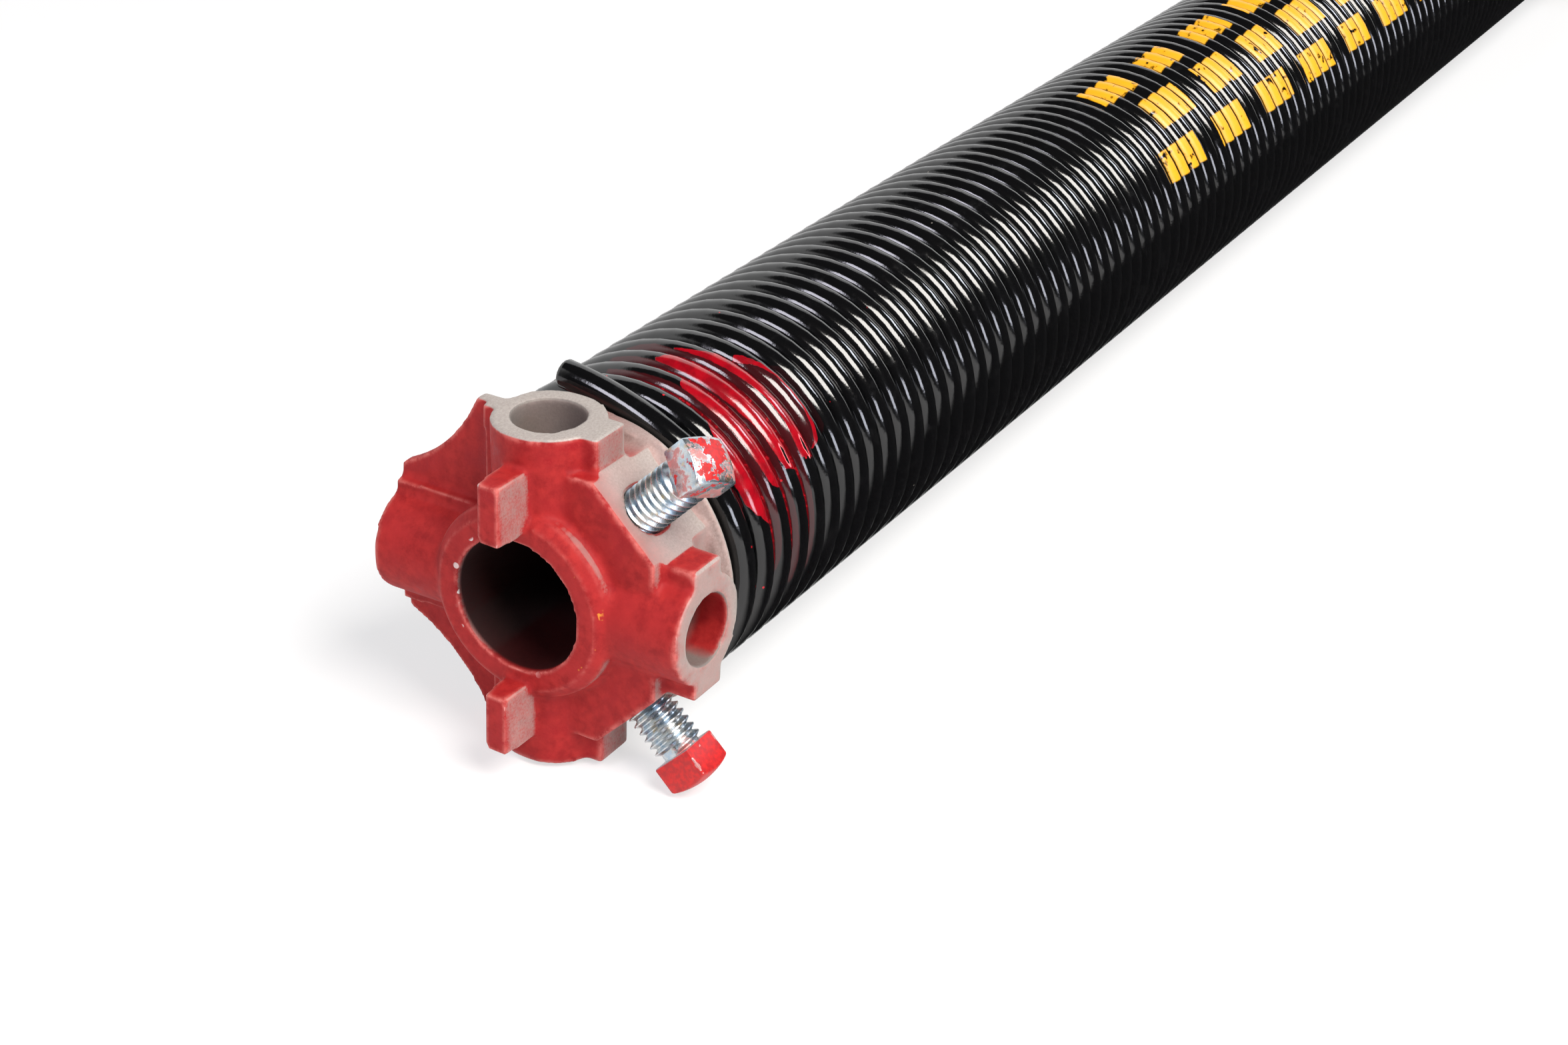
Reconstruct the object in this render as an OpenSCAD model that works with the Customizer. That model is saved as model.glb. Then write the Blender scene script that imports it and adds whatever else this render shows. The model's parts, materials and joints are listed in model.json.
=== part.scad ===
// Garage door torsion spring: a close-wound right-hand coil with a winding cone and a stationary cone.
// The shaft axis is the X axis. X = 0 is the front face of the winding cone's hub, and the coil runs to +X.

/* [Coil] */
// Diameter of the spring wire
wire_d = 5.715; // [5:0.005:6.6]
// Inside diameter of the coil
coil_inner_d = 50.8; // [48:0.1:56]
// Number of full turns of wire
turns = 104; // [10:1:110]
// Gap between neighbouring turns between the cones
turn_gap = 0.06; // [0.04:0.01:0.5]
// Length of wire at each end that springs out of the coil
tail_len = 23.5; // [10:0.5:26]
// Bend radius of the wire's ends
tail_bend_r = 70; // [40:1:200]
// Rounding of the wire's cut edge
tail_round = 0.9; // [0.3:0.1:1.5]
// Angle round the shaft at which the winding end leaves the coil
tail_deg = 64; // [58:1:72]

/* [Shaft] */
// Diameter of the tube shaft that the spring is wound on
shaft_d = 25.4; // [24:0.1:26]
// Radial clearance of the shaft in the winding cone's bore
bore_clear = 0.4; // [0.2:0.05:1]

/* [Winding cone hub] */
// Outside diameter of the hub
hub_d = 38.4; // [35:0.1:40]
// Chamfer round the hub's front face
hub_chamfer = 2; // [1:0.1:3]
// Distance from the hub's front face to the middle of the bar sockets
socket_back = 11.7; // [11:0.1:13]

/* [Bar sockets] */
// Diameter of the hole that takes a winding bar
socket_d = 13.5; // [12:0.1:14]
// Outside diameter of a socket boss
boss_d = 21; // [19:0.1:22]
// Distance from the shaft axis to a socket's end face
boss_reach = 33.4; // [33:0.1:36]
// Depth of a bar socket
socket_deep = 17; // [12:0.5:18]

/* [Webs] */
// Distance from a boss's middle to the outside of the rib along a web
web_rib_out = 12.6; // [11.5:0.1:13]
// Distance from the hub's front face back to the ribs along a web
web_rib_front = 9; // [8:0.1:10]
// Distance from the hub's front face back to the webs
web_front = 10.8; // [10.4:0.1:12]
// Thickness of the webs
web_thick = 2.6; // [2:0.1:5]
// Distance from the shaft axis to the middle of a web's hollow edge
web_reach = 32; // [29:0.1:32.4]
// Radius of a web's hollow edge
web_hollow_r = 34; // [30:1:60]
// Radius of the rounded corner where a web meets a boss's end
ear_round = 2; // [1:0.1:3]

/* [Direction lugs] */
// Width of a lug at the hub's face
lug_w = 5.4; // [4.6:0.1:7]
// Width of a lug at its front
lug_tip_w = 4.6; // [3.5:0.1:4.6]
// Height of the lugs in front of the hub's face
lug_proud = 7.2; // [4:0.1:9]
// Distance from the shaft axis to a lug's inner end
lug_in = 15.4; // [13.8:0.1:16]
// Distance from the shaft axis to a lug's outer end
lug_out = 27.2; // [24:0.1:30]

/* [Screw blocks] */
// Distance from the shaft axis to the flat that a set screw goes into
flat_reach = 28.6; // [27:0.1:30]
// Distance from the hub's front face back to the block's front
block_front = 4.5; // [3:0.1:6]
// Distance from the shaft axis to the block's ends beside the bosses
block_side = 26.6; // [25:0.1:29]
// Distance from a boss's middle to the outside of the rib along a block
block_rib_out = 13; // [12:0.1:14]
// Distance from the hub's front face back to the ribs along a block
block_rib_front = 7.5; // [7:0.1:9]
// Depth of the ribs along a block
block_rib_deep = 9; // [7:0.1:10]
// Distance from the hub's front face to the set screws' axes
screw_back = 12.3; // [11:0.1:15]

/* [Flange] */
// Diameter of the round flange that the coil butts on
flange_d = 63; // [60:0.1:66]
// Thickness of the flange
flange_thick = 4.7; // [4:0.1:6]
// Width of the step round the flange's rim
flange_step_w = 1.6; // [1:0.1:3]
// Depth of the step round the flange's rim
flange_step = 0.8; // [0.4:0.1:1.2]
// Width of the flange's rim behind the step
flange_rim = 0.8; // [0.4:0.1:1.2]
// How much smaller the flange's radius is at its back
flange_taper = 3; // [1:0.1:3]
// Distance from the shaft axis to the flat on the flange beside the wire's end
flange_flat = 28.9; // [28.6:0.1:31.5]
// Angle round the shaft of the flat beside the wire's end
flange_flat_deg = 84; // [76:1:92]

/* [Cone threads] */
// Clearance between the coil's inside and a cone's body
cone_clear = 0.3; // [0.1:0.05:0.6]
// Number of turns of wire threaded on to each cone
cone_turns = 4; // [2:1:5]
// Gap between neighbouring turns on a cone's thread
cone_gap = 0.635; // [0.1:0.005:0.8]
// Height of the thread above the cone's body
thread_proud = 1.1; // [0.6:0.1:1.2]
// Width of the thread at its crest
thread_crest = 0.9; // [0.5:0.1:1.2]
// Width of the thread at its root
thread_root = 2.2; // [1.6:0.1:2.4]
// Length of the tapered nose on each cone
nose_len = 6; // [3:0.5:10]
// How much smaller the nose's radius is at its tip
nose_drop = 2.4; // [1:0.1:4]

/* [Set screws] */
// Diameter of a set screw's thread
screw_d = 9.3; // [9:0.1:9.5]
// Radial clearance of a set screw in its hole
screw_clear = 0.05; // [0.02:0.01:0.1]
// Length of a set screw under its head
screw_len = 22; // [20:0.5:24]
// Width of the square head across its flats
head_flats = 9; // [8.6:0.1:12]
// Height of the head at its middle
head_high = 6.9; // [6:0.1:8]
// Radius of the head's domed end
head_dome_r = 14; // [10:0.5:40]
// Diameter of the cup in the screw's point
cup_d = 5; // [4:0.1:6]
// Distance from the shaft axis to the underside of the upper screw's head
upper_head_at = 41.3; // [36:0.1:44]
// Distance from the shaft axis to the underside of the lower screw's head
lower_head_at = 39.1; // [36:0.1:44]
// Turn of the upper screw's head
upper_head_turn = 20; // [0:1:89]
// Turn of the lower screw's head
lower_head_turn = 40; // [0:1:89]

/* [Stationary cone] */
// Radius of the anchor flange
anchor_r = 34; // [33.8:0.1:36]
// Thickness of the anchor flange
anchor_thick = 7; // [5:0.5:10]
// Distance between the two anchor bolts
bolt_spacing = 76.2; // [74:0.1:80]
// Diameter of the anchor bolt holes
bolt_hole_d = 10.3; // [9:0.1:11]
// Radius of the lug round each bolt hole
bolt_lug_r = 11; // [9:0.5:12]
// Diameter of the pocket for the shaft bearing
bearing_d = 38.1; // [34:0.1:40]
// Depth of the bearing pocket
bearing_deep = 10; // [6:0.5:12]
// Diameter of the clearance hole for the shaft
anchor_bore_d = 28.6; // [27:0.1:32]

/* [Hidden] */

wire_r = wire_d / 2;
pitch = wire_d + turn_gap;
cone_pitch = wire_d + cone_gap;
mean_r = (coil_inner_d + wire_d) / 2;
joint_shrink = 0.04;
joint_lap = 0.2;
joint_lap_deg = joint_lap / mean_r * 180 / PI;
overlap = 0.5;
end_clear = 0.3;
round_fn = 96;
turn_fn = 72;
wire_fn = 24;

flange_front = socket_back + boss_d / 2;
flange_back = flange_front + flange_thick;
coil_start = flange_back + end_clear + wire_r;
coil_len = turn_at(turns);
coil_end = coil_start + coil_len;
anchor_face = coil_end + wire_r + end_clear;

bore_d = shaft_d + 2 * bore_clear;
cone_r = coil_inner_d / 2 - cone_clear;
cone_len = (cone_turns + 0.5) * cone_pitch + nose_len;
screw_r = screw_d / 2;
head_corner_r = head_flats / sqrt(2);
screw_deg = 45;
cup_deep = 1.2;

// Height of a turn's start above the coil's far end. The turns on the two cones lie further apart.
function turn_at(i) = i * pitch
  + (cone_pitch - pitch) * (min(i, cone_turns) + max(0, i + cone_turns - turns));

// Middle of the hollow edge's arc, and of the rounded corner where it meets a boss's end.
hollow_mid = (web_reach + web_hollow_r) / sqrt(2);
ear_y = boss_reach - ear_round;
ear_x = hollow_mid - sqrt(pow(web_hollow_r + ear_round, 2) - pow(hollow_mid - ear_y, 2));

// The spring lies on the rounded corner of a web and on the rim of the lower screw's head.
function head_rim_r(a) = head_flats / 2 / cos((a - lower_head_turn + 360) % 90 - 45);
function head_rim_out(a) = lower_head_at + head_high - head_dome_r
  + sqrt(pow(head_dome_r, 2) - pow(head_rim_r(a), 2));
function head_rim(a) = [
  head_rim_out(a) * cos(screw_deg) + head_rim_r(a) * sin(a) * sin(screw_deg),
  -head_rim_out(a) * sin(screw_deg) + head_rim_r(a) * sin(a) * cos(screw_deg)
];
function from_ear(p) = [p[0] + ear_x, p[1] + ear_y];
function fall_deg(v) = atan2(-v[1], v[0]) - asin(ear_round / norm(v));
rest_roll = max([for (a = [0 : 5 : 355]) fall_deg(from_ear(head_rim(a)))]);

// Stands a piece that is modelled along Z, front up, on its place along the shaft.
module on_shaft(roll) {
  rotate([90, 0, -90])
    rotate([0, 0, roll])
      children();
}

// One half turn: a half ring leaned so that its ends meet the next half rings end to end.
module half_turn(lean, start, lap) {
  rotate([0, lean, 0])
    rotate_extrude(angle = 180 + 2 * lap, start = start - lap, $fn = turn_fn)
      translate([mean_r / cos(lean), 0])
        children();
}

// One full turn of a profile, rising right-handed from Z = 0.
// Its second half is a hair thinner and laps into its neighbours, so that they join in one wire.
module one_turn(rise) {
  lean = atan(rise / 4 / mean_r);
  translate([0, 0, rise / 4])
    half_turn(lean, 0, 0)
      children(0);
  translate([0, 0, rise * 3 / 4])
    half_turn(-lean, 180, joint_lap_deg)
      children(1);
}

// The cut end of the wire, towards +Y: an arc wider than the coil, with a rounded edge.
// It can lap into the turn before it.
module wire_tail(shrink, lap) {
  tail_r = wire_r - shrink / 2;
  cap_r = wire_r - (joint_shrink - shrink) / 2;
  bend_deg = (tail_len - tail_round) / tail_bend_r * 180 / PI;
  lap_deg = lap / tail_bend_r * 180 / PI;
  translate([mean_r - tail_bend_r, 0, 0]) {
    rotate([0, 0, -lap_deg])
      rotate_extrude(angle = bend_deg + lap_deg, $fn = turn_fn)
        translate([tail_bend_r, 0])
          circle(r = tail_r, $fn = wire_fn);
    rotate([0, 0, bend_deg])
      translate([tail_bend_r, -joint_lap, 0])
        rotate([-90, 0, 0])
          rotate_extrude($fn = turn_fn) {
            square([cap_r, joint_lap]);
            square([cap_r - tail_round, joint_lap + tail_round]);
            translate([cap_r - tail_round, joint_lap])
              circle(r = tail_round, $fn = wire_fn);
          }
  }
}

module spring_coil() {
  color("#17171a")
    on_shaft(rest_roll)
      translate([0, 0, -coil_end])
        rotate([0, 0, tail_deg]) {
          for (i = [0 : turns - 1])
            translate([0, 0, turn_at(i)])
              one_turn(turn_at(i + 1) - turn_at(i)) {
                circle(d = wire_d, $fn = wire_fn);
                circle(d = wire_d - joint_shrink, $fn = wire_fn);
              }
          translate([0, 0, coil_len])
            wire_tail(0, 0);
          mirror([0, 1, 0])
            wire_tail(joint_shrink, joint_lap);
        }
}

// Section of the thread that lies in the groove between two turns of wire.
module thread_section(shrink) {
  root_r = cone_r - overlap - mean_r;
  crest_r = cone_r + thread_proud - shrink - mean_r;
  polygon([
    [root_r, -thread_root / 2 + shrink],
    [crest_r, -thread_crest / 2 + shrink],
    [crest_r, thread_crest / 2 - shrink],
    [root_r, thread_root / 2 - shrink]
  ]);
}

// Round body that is screwed into the coil, from Z = 0 down, with its nose at the bottom.
module cone_body() {
  straight = cone_len - nose_len;
  translate([0, 0, -straight])
    cylinder(r = cone_r, h = straight + overlap, $fn = round_fn);
  translate([0, 0, -cone_len])
    cylinder(r1 = cone_r - nose_drop, r2 = cone_r, h = nose_len, $fn = round_fn);
}

// Thread in the grooves of the coil's first or last turns. It starts half a turn's height from the wire.
module cone_thread(from_z) {
  for (i = [0 : cone_turns - 2])
    translate([0, 0, from_z + i * cone_pitch])
      rotate([0, 0, tail_deg])
        one_turn(cone_pitch) {
          thread_section(0);
          thread_section(joint_shrink);
        }
}

// One bar socket's boss, along +Y.
module socket_boss() {
  translate([0, 0, -socket_back])
    rotate([-90, 0, 0])
      cylinder(d = boss_d, h = boss_reach, $fn = round_fn);
}

// Lug along +Y that narrows towards its front.
module direction_lug() {
  translate([0, lug_out, 0])
    rotate([90, 0, 0])
      linear_extrude(lug_out - lug_in)
        polygon([
          [-lug_w / 2, -block_front],
          [lug_w / 2, -block_front],
          [lug_w / 2, 0],
          [lug_tip_w / 2, lug_proud],
          [-lug_tip_w / 2, lug_proud],
          [-lug_w / 2, 0]
        ]);
}

// Ribs along the two bosses that bound the quarter between +X and +Y.
module quarter_ribs(out, front, deep) {
  translate([0, 0, -front - deep]) {
    cube([boss_reach, out, deep]);
    cube([out, boss_reach, deep]);
  }
}

// Web with a hollow edge and rounded corners, in the quarter between +X and +Y.
module web() {
  translate([0, 0, -web_front - web_thick])
    linear_extrude(web_thick) {
      difference() {
        polygon([
          [0, 0],
          [boss_reach, 0],
          [boss_reach, ear_x],
          [ear_y, ear_x],
          [hollow_mid, hollow_mid],
          [ear_x, ear_y],
          [ear_x, boss_reach],
          [0, boss_reach]
        ]);
        translate([hollow_mid, hollow_mid])
          circle(r = web_hollow_r, $fn = round_fn * 2);
      }
      for (at = [[ear_x, ear_y], [ear_y, ear_x]])
        translate(at)
          circle(r = ear_round, $fn = wire_fn);
    }
  quarter_ribs(web_rib_out, web_rib_front, web_front + web_thick - web_rib_front);
}

// Solid block with a flat for the set screw, in the quarter between +X and +Y.
module screw_block() {
  cut = flat_reach * sqrt(2);
  translate([0, 0, -flange_front - overlap])
    linear_extrude(flange_front + overlap - block_front)
      polygon([
        [0, 0],
        [block_side, 0],
        [block_side, cut - block_side],
        [cut - block_side, block_side],
        [0, block_side]
      ]);
  quarter_ribs(block_rib_out, block_rib_front, block_rib_deep);
}

module screw_hole() {
  translate([0, 0, -screw_back])
    rotate([0, 90, 0])
      cylinder(r = screw_r + screw_clear, h = boss_reach * 2, $fn = 48);
}

module hub() {
  translate([0, 0, -flange_front - overlap])
    cylinder(d = hub_d, h = flange_front + overlap - hub_chamfer, $fn = round_fn);
  translate([0, 0, -hub_chamfer])
    cylinder(d1 = hub_d, d2 = hub_d - 2 * hub_chamfer, h = hub_chamfer, $fn = round_fn);
}

// Round flange with a stepped front, a tapered back and a flat that clears the wire's end.
module flange() {
  rim_back = flange_front + flange_step + flange_rim;
  difference() {
    union() {
      translate([0, 0, -flange_front - flange_step])
        cylinder(d = flange_d - 2 * flange_step_w, h = flange_step, $fn = round_fn);
      translate([0, 0, -rim_back])
        cylinder(d = flange_d, h = flange_rim, $fn = round_fn);
      translate([0, 0, -flange_back])
        cylinder(d1 = flange_d - 2 * flange_taper, d2 = flange_d, h = flange_back - rim_back, $fn = round_fn);
    }
    rotate([0, 0, flange_flat_deg])
      translate([flange_flat, -flange_d / 2, -flange_back - overlap])
        cube([flange_d, flange_d, flange_thick + 2 * overlap]);
  }
}

module winding_cone() {
  color("#b3202b")
    on_shaft(rest_roll)
      difference() {
        union() {
          hub();
          flange();
          translate([0, 0, -flange_back])
            cone_body();
          cone_thread(-coil_start - (cone_turns - 0.5) * cone_pitch);
          for (k = [0 : 3])
            rotate([0, 0, 90 * k])
              socket_boss();
          for (k = [0, 1])
            rotate([0, 0, 180 * k])
              direction_lug();
          for (k = [1, 2])
            rotate([0, 0, 90 * k])
              web();
          for (k = [0, 3])
            rotate([0, 0, 90 * k])
              screw_block();
        }
        translate([0, 0, -flange_back - cone_len - overlap])
          cylinder(d = bore_d, h = flange_back + cone_len + lug_proud + 2 * overlap, $fn = round_fn);
        for (k = [0 : 3])
          rotate([0, 0, 90 * k])
            translate([0, boss_reach - socket_deep, -socket_back])
              rotate([-90, 0, 0])
                cylinder(d = socket_d, h = socket_deep + overlap, $fn = round_fn);
        for (s = [-1, 1])
          rotate([0, 0, s * screw_deg])
            screw_hole();
      }
}

// Set screw along +X, with the underside of its head at X = 0 and its point at -X.
module set_screw(head_turn) {
  rotate([0, 90, 0]) {
    difference() {
      translate([0, 0, -screw_len])
        cylinder(r = screw_r, h = screw_len + overlap, $fn = 48);
      translate([0, 0, -screw_len - overlap])
        cylinder(d1 = cup_d + 2 * overlap, d2 = cup_d - 2 * cup_deep, h = cup_deep + overlap, $fn = 48);
    }
    intersection() {
      rotate([0, 0, head_turn])
        cylinder(r = head_corner_r, h = head_high, $fn = 4);
      translate([0, 0, head_high - head_dome_r])
        sphere(r = head_dome_r, $fn = round_fn);
    }
  }
}

module placed_screw(side, head_at, head_turn) {
  color("#aeb4bc")
    on_shaft(rest_roll)
      rotate([0, 0, side * screw_deg])
        translate([head_at, 0, -screw_back])
          set_screw(head_turn);
}

module set_screw_upper() placed_screw(1, upper_head_at, upper_head_turn);

module set_screw_lower() placed_screw(-1, lower_head_at, lower_head_turn);

// Flat outline of the anchor flange: a round plate with a lug on each side for a bolt.
module anchor_outline() {
  half = bolt_spacing / 2;
  tangent_deg = acos((anchor_r - bolt_lug_r) / half);
  circle(r = anchor_r, $fn = round_fn);
  for (s = [-1, 1]) {
    translate([s * half, 0])
      circle(r = bolt_lug_r, $fn = 48);
    polygon([
      for (t = [-tangent_deg, tangent_deg]) [s * anchor_r * cos(t), anchor_r * sin(t)],
      for (t = [tangent_deg, -tangent_deg]) [s * (half + bolt_lug_r * cos(t)), bolt_lug_r * sin(t)]
    ]);
  }
}

module stationary_cone() {
  color("#a9a6a2")
    translate([anchor_face, 0, 0])
      difference() {
        union() {
          on_shaft(0)
            translate([0, 0, -anchor_thick])
              linear_extrude(anchor_thick)
                anchor_outline();
          mirror([1, 0, 0])
            on_shaft(0)
              cone_body();
          on_shaft(rest_roll)
            cone_thread(end_clear + wire_r + cone_pitch / 2);
        }
        on_shaft(0) {
          translate([0, 0, -anchor_thick - overlap])
            cylinder(d = anchor_bore_d, h = anchor_thick + cone_len + 2 * overlap, $fn = round_fn);
          translate([0, 0, -anchor_thick - overlap])
            cylinder(d = bearing_d, h = bearing_deep + overlap, $fn = round_fn);
          for (s = [-1, 1])
            translate([s * bolt_spacing / 2, 0, -anchor_thick - overlap])
              cylinder(d = bolt_hole_d, h = anchor_thick + 2 * overlap, $fn = 48);
        }
      }
}

spring_coil();
winding_cone();
set_screw_upper();
set_screw_lower();
stationary_cone();
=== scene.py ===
import json
import math

import bmesh
import bpy
from bpy.props import FloatProperty, FloatVectorProperty, IntProperty, PointerProperty
from mathutils import Matrix, Vector


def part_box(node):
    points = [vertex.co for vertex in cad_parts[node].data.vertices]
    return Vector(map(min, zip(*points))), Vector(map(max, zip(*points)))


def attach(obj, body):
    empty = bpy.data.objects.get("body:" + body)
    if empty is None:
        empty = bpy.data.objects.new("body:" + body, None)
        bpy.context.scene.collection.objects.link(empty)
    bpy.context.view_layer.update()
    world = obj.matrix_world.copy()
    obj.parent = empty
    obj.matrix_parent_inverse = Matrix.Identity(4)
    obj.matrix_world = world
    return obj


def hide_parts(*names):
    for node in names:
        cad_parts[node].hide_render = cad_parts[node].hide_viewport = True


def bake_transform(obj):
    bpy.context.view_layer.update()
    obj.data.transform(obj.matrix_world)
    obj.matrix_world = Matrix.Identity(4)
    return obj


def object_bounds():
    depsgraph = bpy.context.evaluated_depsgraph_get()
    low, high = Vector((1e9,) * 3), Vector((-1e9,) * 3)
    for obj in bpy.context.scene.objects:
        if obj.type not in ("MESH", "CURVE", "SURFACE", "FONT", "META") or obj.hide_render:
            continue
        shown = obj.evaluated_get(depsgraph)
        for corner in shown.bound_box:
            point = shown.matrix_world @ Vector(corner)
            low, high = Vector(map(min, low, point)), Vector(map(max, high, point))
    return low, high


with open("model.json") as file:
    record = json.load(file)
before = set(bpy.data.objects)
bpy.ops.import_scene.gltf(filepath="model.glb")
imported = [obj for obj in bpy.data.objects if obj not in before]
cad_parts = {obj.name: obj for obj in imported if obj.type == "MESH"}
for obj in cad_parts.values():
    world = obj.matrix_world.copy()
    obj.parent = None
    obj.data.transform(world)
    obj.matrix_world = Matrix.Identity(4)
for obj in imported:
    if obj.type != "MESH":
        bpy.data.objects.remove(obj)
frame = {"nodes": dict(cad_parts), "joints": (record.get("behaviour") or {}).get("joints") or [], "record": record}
CAD_LOW, CAD_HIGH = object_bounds()

bl_info = {
    "name": "Garage door torsion spring",
    "version": (1, 0, 0),
    "blender": (4, 5, 0),
    "location": "View3D > Sidebar > Spring",
    "description": "Winds, threads, paints and lights a torsion spring on its packed frame",
    "category": "Object",
}

MM = 0.001
MOUNTS = {mount["name"]: mount for mount in frame["record"]["mounts"]}
JOINTS = {joint["name"]: joint for joint in frame["joints"]}

# The winding cone's own directions: out of its front along the shaft, up to the top socket, and right.
OUT = Vector(MOUNTS["winding_shaft_bore"]["axis"])
UP = Vector(MOUNTS["winding_bar_socket_top"]["axis"])
RIGHT = Vector(MOUNTS["winding_bar_socket_right"]["axis"])
BORE_R = MOUNTS["winding_shaft_bore"]["dims"]["r_mm"]


def at(right, up, out):
    """A place in the frame from millimetres to the right of, above and in front of the hub's face."""
    return (RIGHT * right + UP * up + OUT * out) * MM


# ---------------------------------------------------------------- sizes and colours


def srgb(code):
    """The linear colour of an sRGB hex value."""
    parts = [int(code[k:k + 2], 16) / 255 for k in (1, 3, 5)]
    return tuple(c / 12.92 if c <= 0.04045 else ((c + 0.055) / 1.055) ** 2.4 for c in parts) + (1.0,)


class WireSizes(bpy.types.PropertyGroup):
    diameter: FloatProperty(name="Wire diameter", description="Thickness of the spring wire",
                            default=5.715 * MM, unit="LENGTH", precision=5)
    inside: FloatProperty(name="Inside diameter", description="Inside diameter of the coil",
                          default=50.8 * MM, unit="LENGTH", precision=5)
    turns: IntProperty(name="Turns", description="Full turns of wire", default=104, min=10)
    gap: FloatProperty(name="Gap", description="Gap between neighbouring turns between the cones",
                       default=0.06 * MM, unit="LENGTH", precision=5)
    cone_turns: IntProperty(name="Cone turns", description="Turns that lie on each cone's thread",
                            default=4, min=1)
    cone_gap: FloatProperty(name="Cone gap", description="Gap between neighbouring turns on a cone's thread",
                            default=0.635 * MM, unit="LENGTH", precision=6)
    tail: FloatProperty(name="Tail", description="Length of wire at each end that springs out of the coil",
                        default=23.5 * MM, unit="LENGTH", precision=5)
    tail_bend: FloatProperty(name="Tail bend", description="Bend radius of the wire's ends",
                             default=70 * MM, unit="LENGTH", precision=5)
    cut_edge: FloatProperty(name="Cut edge", description="Rounding of the wire's cut edge",
                            default=0.9 * MM, unit="LENGTH", precision=5)
    leave: FloatProperty(name="Leaving angle",
                         description="Angle from the right at which the end leaves the coil",
                         default=math.radians(64), subtype="ANGLE")
    enamel: FloatVectorProperty(name="Enamel", description="Colour of the black enamel",
                                default=srgb("#070708")[:3], subtype="COLOR")


class ScrewSizes(bpy.types.PropertyGroup):
    pitch: FloatProperty(name="Thread pitch", description="Distance between neighbouring threads",
                         default=1.5875 * MM, unit="LENGTH", precision=6)
    outside: FloatProperty(name="Thread diameter", description="Diameter over the thread",
                           default=9.3 * MM, unit="LENGTH", precision=5)
    root: FloatProperty(name="Root diameter", description="Diameter at the bottom of the thread",
                        default=7.4 * MM, unit="LENGTH", precision=5)
    flats: FloatProperty(name="Head across flats", description="Width of the square head",
                         default=9 * MM, unit="LENGTH", precision=5)
    height: FloatProperty(name="Head height", description="Height of the head at its middle",
                          default=6.9 * MM, unit="LENGTH", precision=5)
    dome: FloatProperty(name="Dome radius", description="Radius of the head's domed end",
                        default=14 * MM, unit="LENGTH", precision=5)
    edge: FloatProperty(name="Head edge", description="Rounding of the head's edges",
                        default=0.35 * MM, unit="LENGTH", precision=6)
    point: FloatProperty(name="Point", description="Length over which the screw's point is turned down",
                         default=0.9 * MM, unit="LENGTH", precision=6)


class CastingSizes(bpy.types.PropertyGroup):
    grain: FloatProperty(name="Mesh size", description="Size of the casting's surface faces",
                         default=0.6 * MM, unit="LENGTH", precision=6)
    paint: FloatVectorProperty(name="Red paint", description="Colour of the sprayed paint",
                               default=srgb("#9c2122")[:3], subtype="COLOR")


class StudioSizes(bpy.types.PropertyGroup):
    floor: FloatProperty(name="Floor", description="Width of the pale floor", default=8.0, unit="LENGTH")
    lens: FloatProperty(name="Lens", description="Focal length of the camera", default=57.63, unit="CAMERA")


# ---------------------------------------------------------------- helpers


def per_mm(size):
    """The pattern scale at which one cell measures this many millimetres on metre coordinates."""
    return 1 / (size * MM)


# The setting that a node's mode belongs to, and the inputs to fill in order where they aren't the first ones.
MODES = {"Math": "operation", "VectorMath": "operation", "MapRange": "interpolation_type", "Mix": "data_type"}
ORDER = {"Mix": (0, 6, 7), "TexNoise": ("Vector", "Scale", "Detail", "Roughness")}


def feed(tree, node, inputs):
    """Gives a node's inputs their values. Another node gives its first live output."""
    for key, value in inputs.items():
        if isinstance(value, bpy.types.Node):
            value = next(output for output in value.outputs if output.enabled)
        if isinstance(value, bpy.types.NodeSocket):
            tree.links.new(value, node.inputs[key])
        else:
            node.inputs[key].default_value = value


def add(tree, kind, *inputs, **settings):
    """Adds a shader node, with its mode after a dot if it has one. Inputs come in order or in one dict."""
    kind, _, mode = kind.partition(".")
    node = tree.nodes.new("ShaderNode" + kind)
    if mode:
        setattr(node, MODES[kind], mode)
    for name, value in settings.items():
        setattr(node, name, value)
    in_dict = len(inputs) == 1 and isinstance(inputs[0], dict)
    feed(tree, node, inputs[0] if in_dict else dict(zip(ORDER.get(kind, range(len(inputs))), inputs)))
    return node


def new_material(name):
    """An empty material with its tree, its Principled shader and its output joined."""
    material = bpy.data.materials.new(name)
    material.use_nodes = True
    tree = material.node_tree
    tree.nodes.clear()
    shader = add(tree, "BsdfPrincipled")
    add(tree, "OutputMaterial", {"Surface": shader.outputs["BSDF"]})
    return material, tree, shader


def measure(tree, place, direction, start=Vector((0, 0, 0))):
    """Millimetres from a start along a direction, for each shaded point."""
    moved = add(tree, "VectorMath.SUBTRACT", place, start)
    return add(tree, "VectorMath.DOT_PRODUCT", moved, Vector(direction) / MM)


def band(tree, value, low, high, soft):
    """1 between low and high, and fading out over a soft distance outside them."""
    rise = add(tree, "MapRange.SMOOTHSTEP", value, low - soft, low)
    return add(tree, "Math.MULTIPLY", rise, add(tree, "MapRange.SMOOTHSTEP", value, high + soft, high))


def less(tree, cover, share, most=1.0):
    """A paint's cover, with as much as most of it taken away where the share is 1."""
    return add(tree, "Math.MULTIPLY", cover, add(tree, "Math.MULTIPLY_ADD", share, -most, 1.0))


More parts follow.
